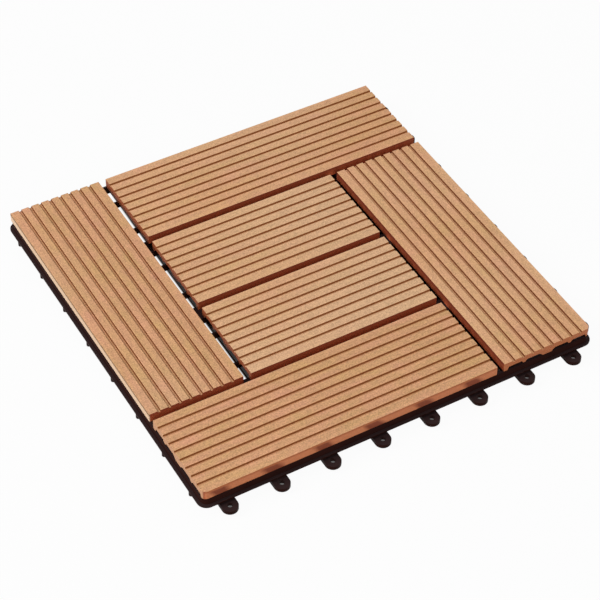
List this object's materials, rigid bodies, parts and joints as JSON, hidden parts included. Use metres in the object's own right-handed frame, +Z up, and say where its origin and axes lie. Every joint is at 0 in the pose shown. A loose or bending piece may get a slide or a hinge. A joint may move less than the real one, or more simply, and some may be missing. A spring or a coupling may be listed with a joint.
{
  "type": "interlocking deck tile",
  "caption": "Square interlocking deck tile: grooved wood slats laid in a pinwheel on an open black plastic grid, with linking rings along the front and right edges and pins under the others.",
  "frame": {"origin": "on the ground, at the middle of the square that one tile takes up in a deck, under the foot in the grid's middle", "axes": "+X runs right and +Y runs back, both along the tile's edges; +Z is up, from the grid's feet to the grooved faces. The rings stand out towards -Y and +X, the pins hang under the edges at +Y and -X"},
  "size_m": [0.3075, 0.3075, 0.022],
  "materials": {
    "grid": "moulded black polypropylene, slight sheen",
    "wood": "oiled light hardwood, fine brushed grain along each slat",
    "screws": "stainless steel"
  },
  "bodies": {
    "root": {"base_grid": "grid", "left_slat": "wood", "front_slat": "wood", "right_slat": "wood", "back_slat": "wood", "middle_front_slat": "wood", "middle_back_slat": "wood", "left_slat_screws": "screws", "front_slat_screws": "screws", "right_slat_screws": "screws", "back_slat_screws": "screws", "middle_front_slat_screws": "screws", "middle_back_slat_screws": "screws"}
  },
  "joints": []
}
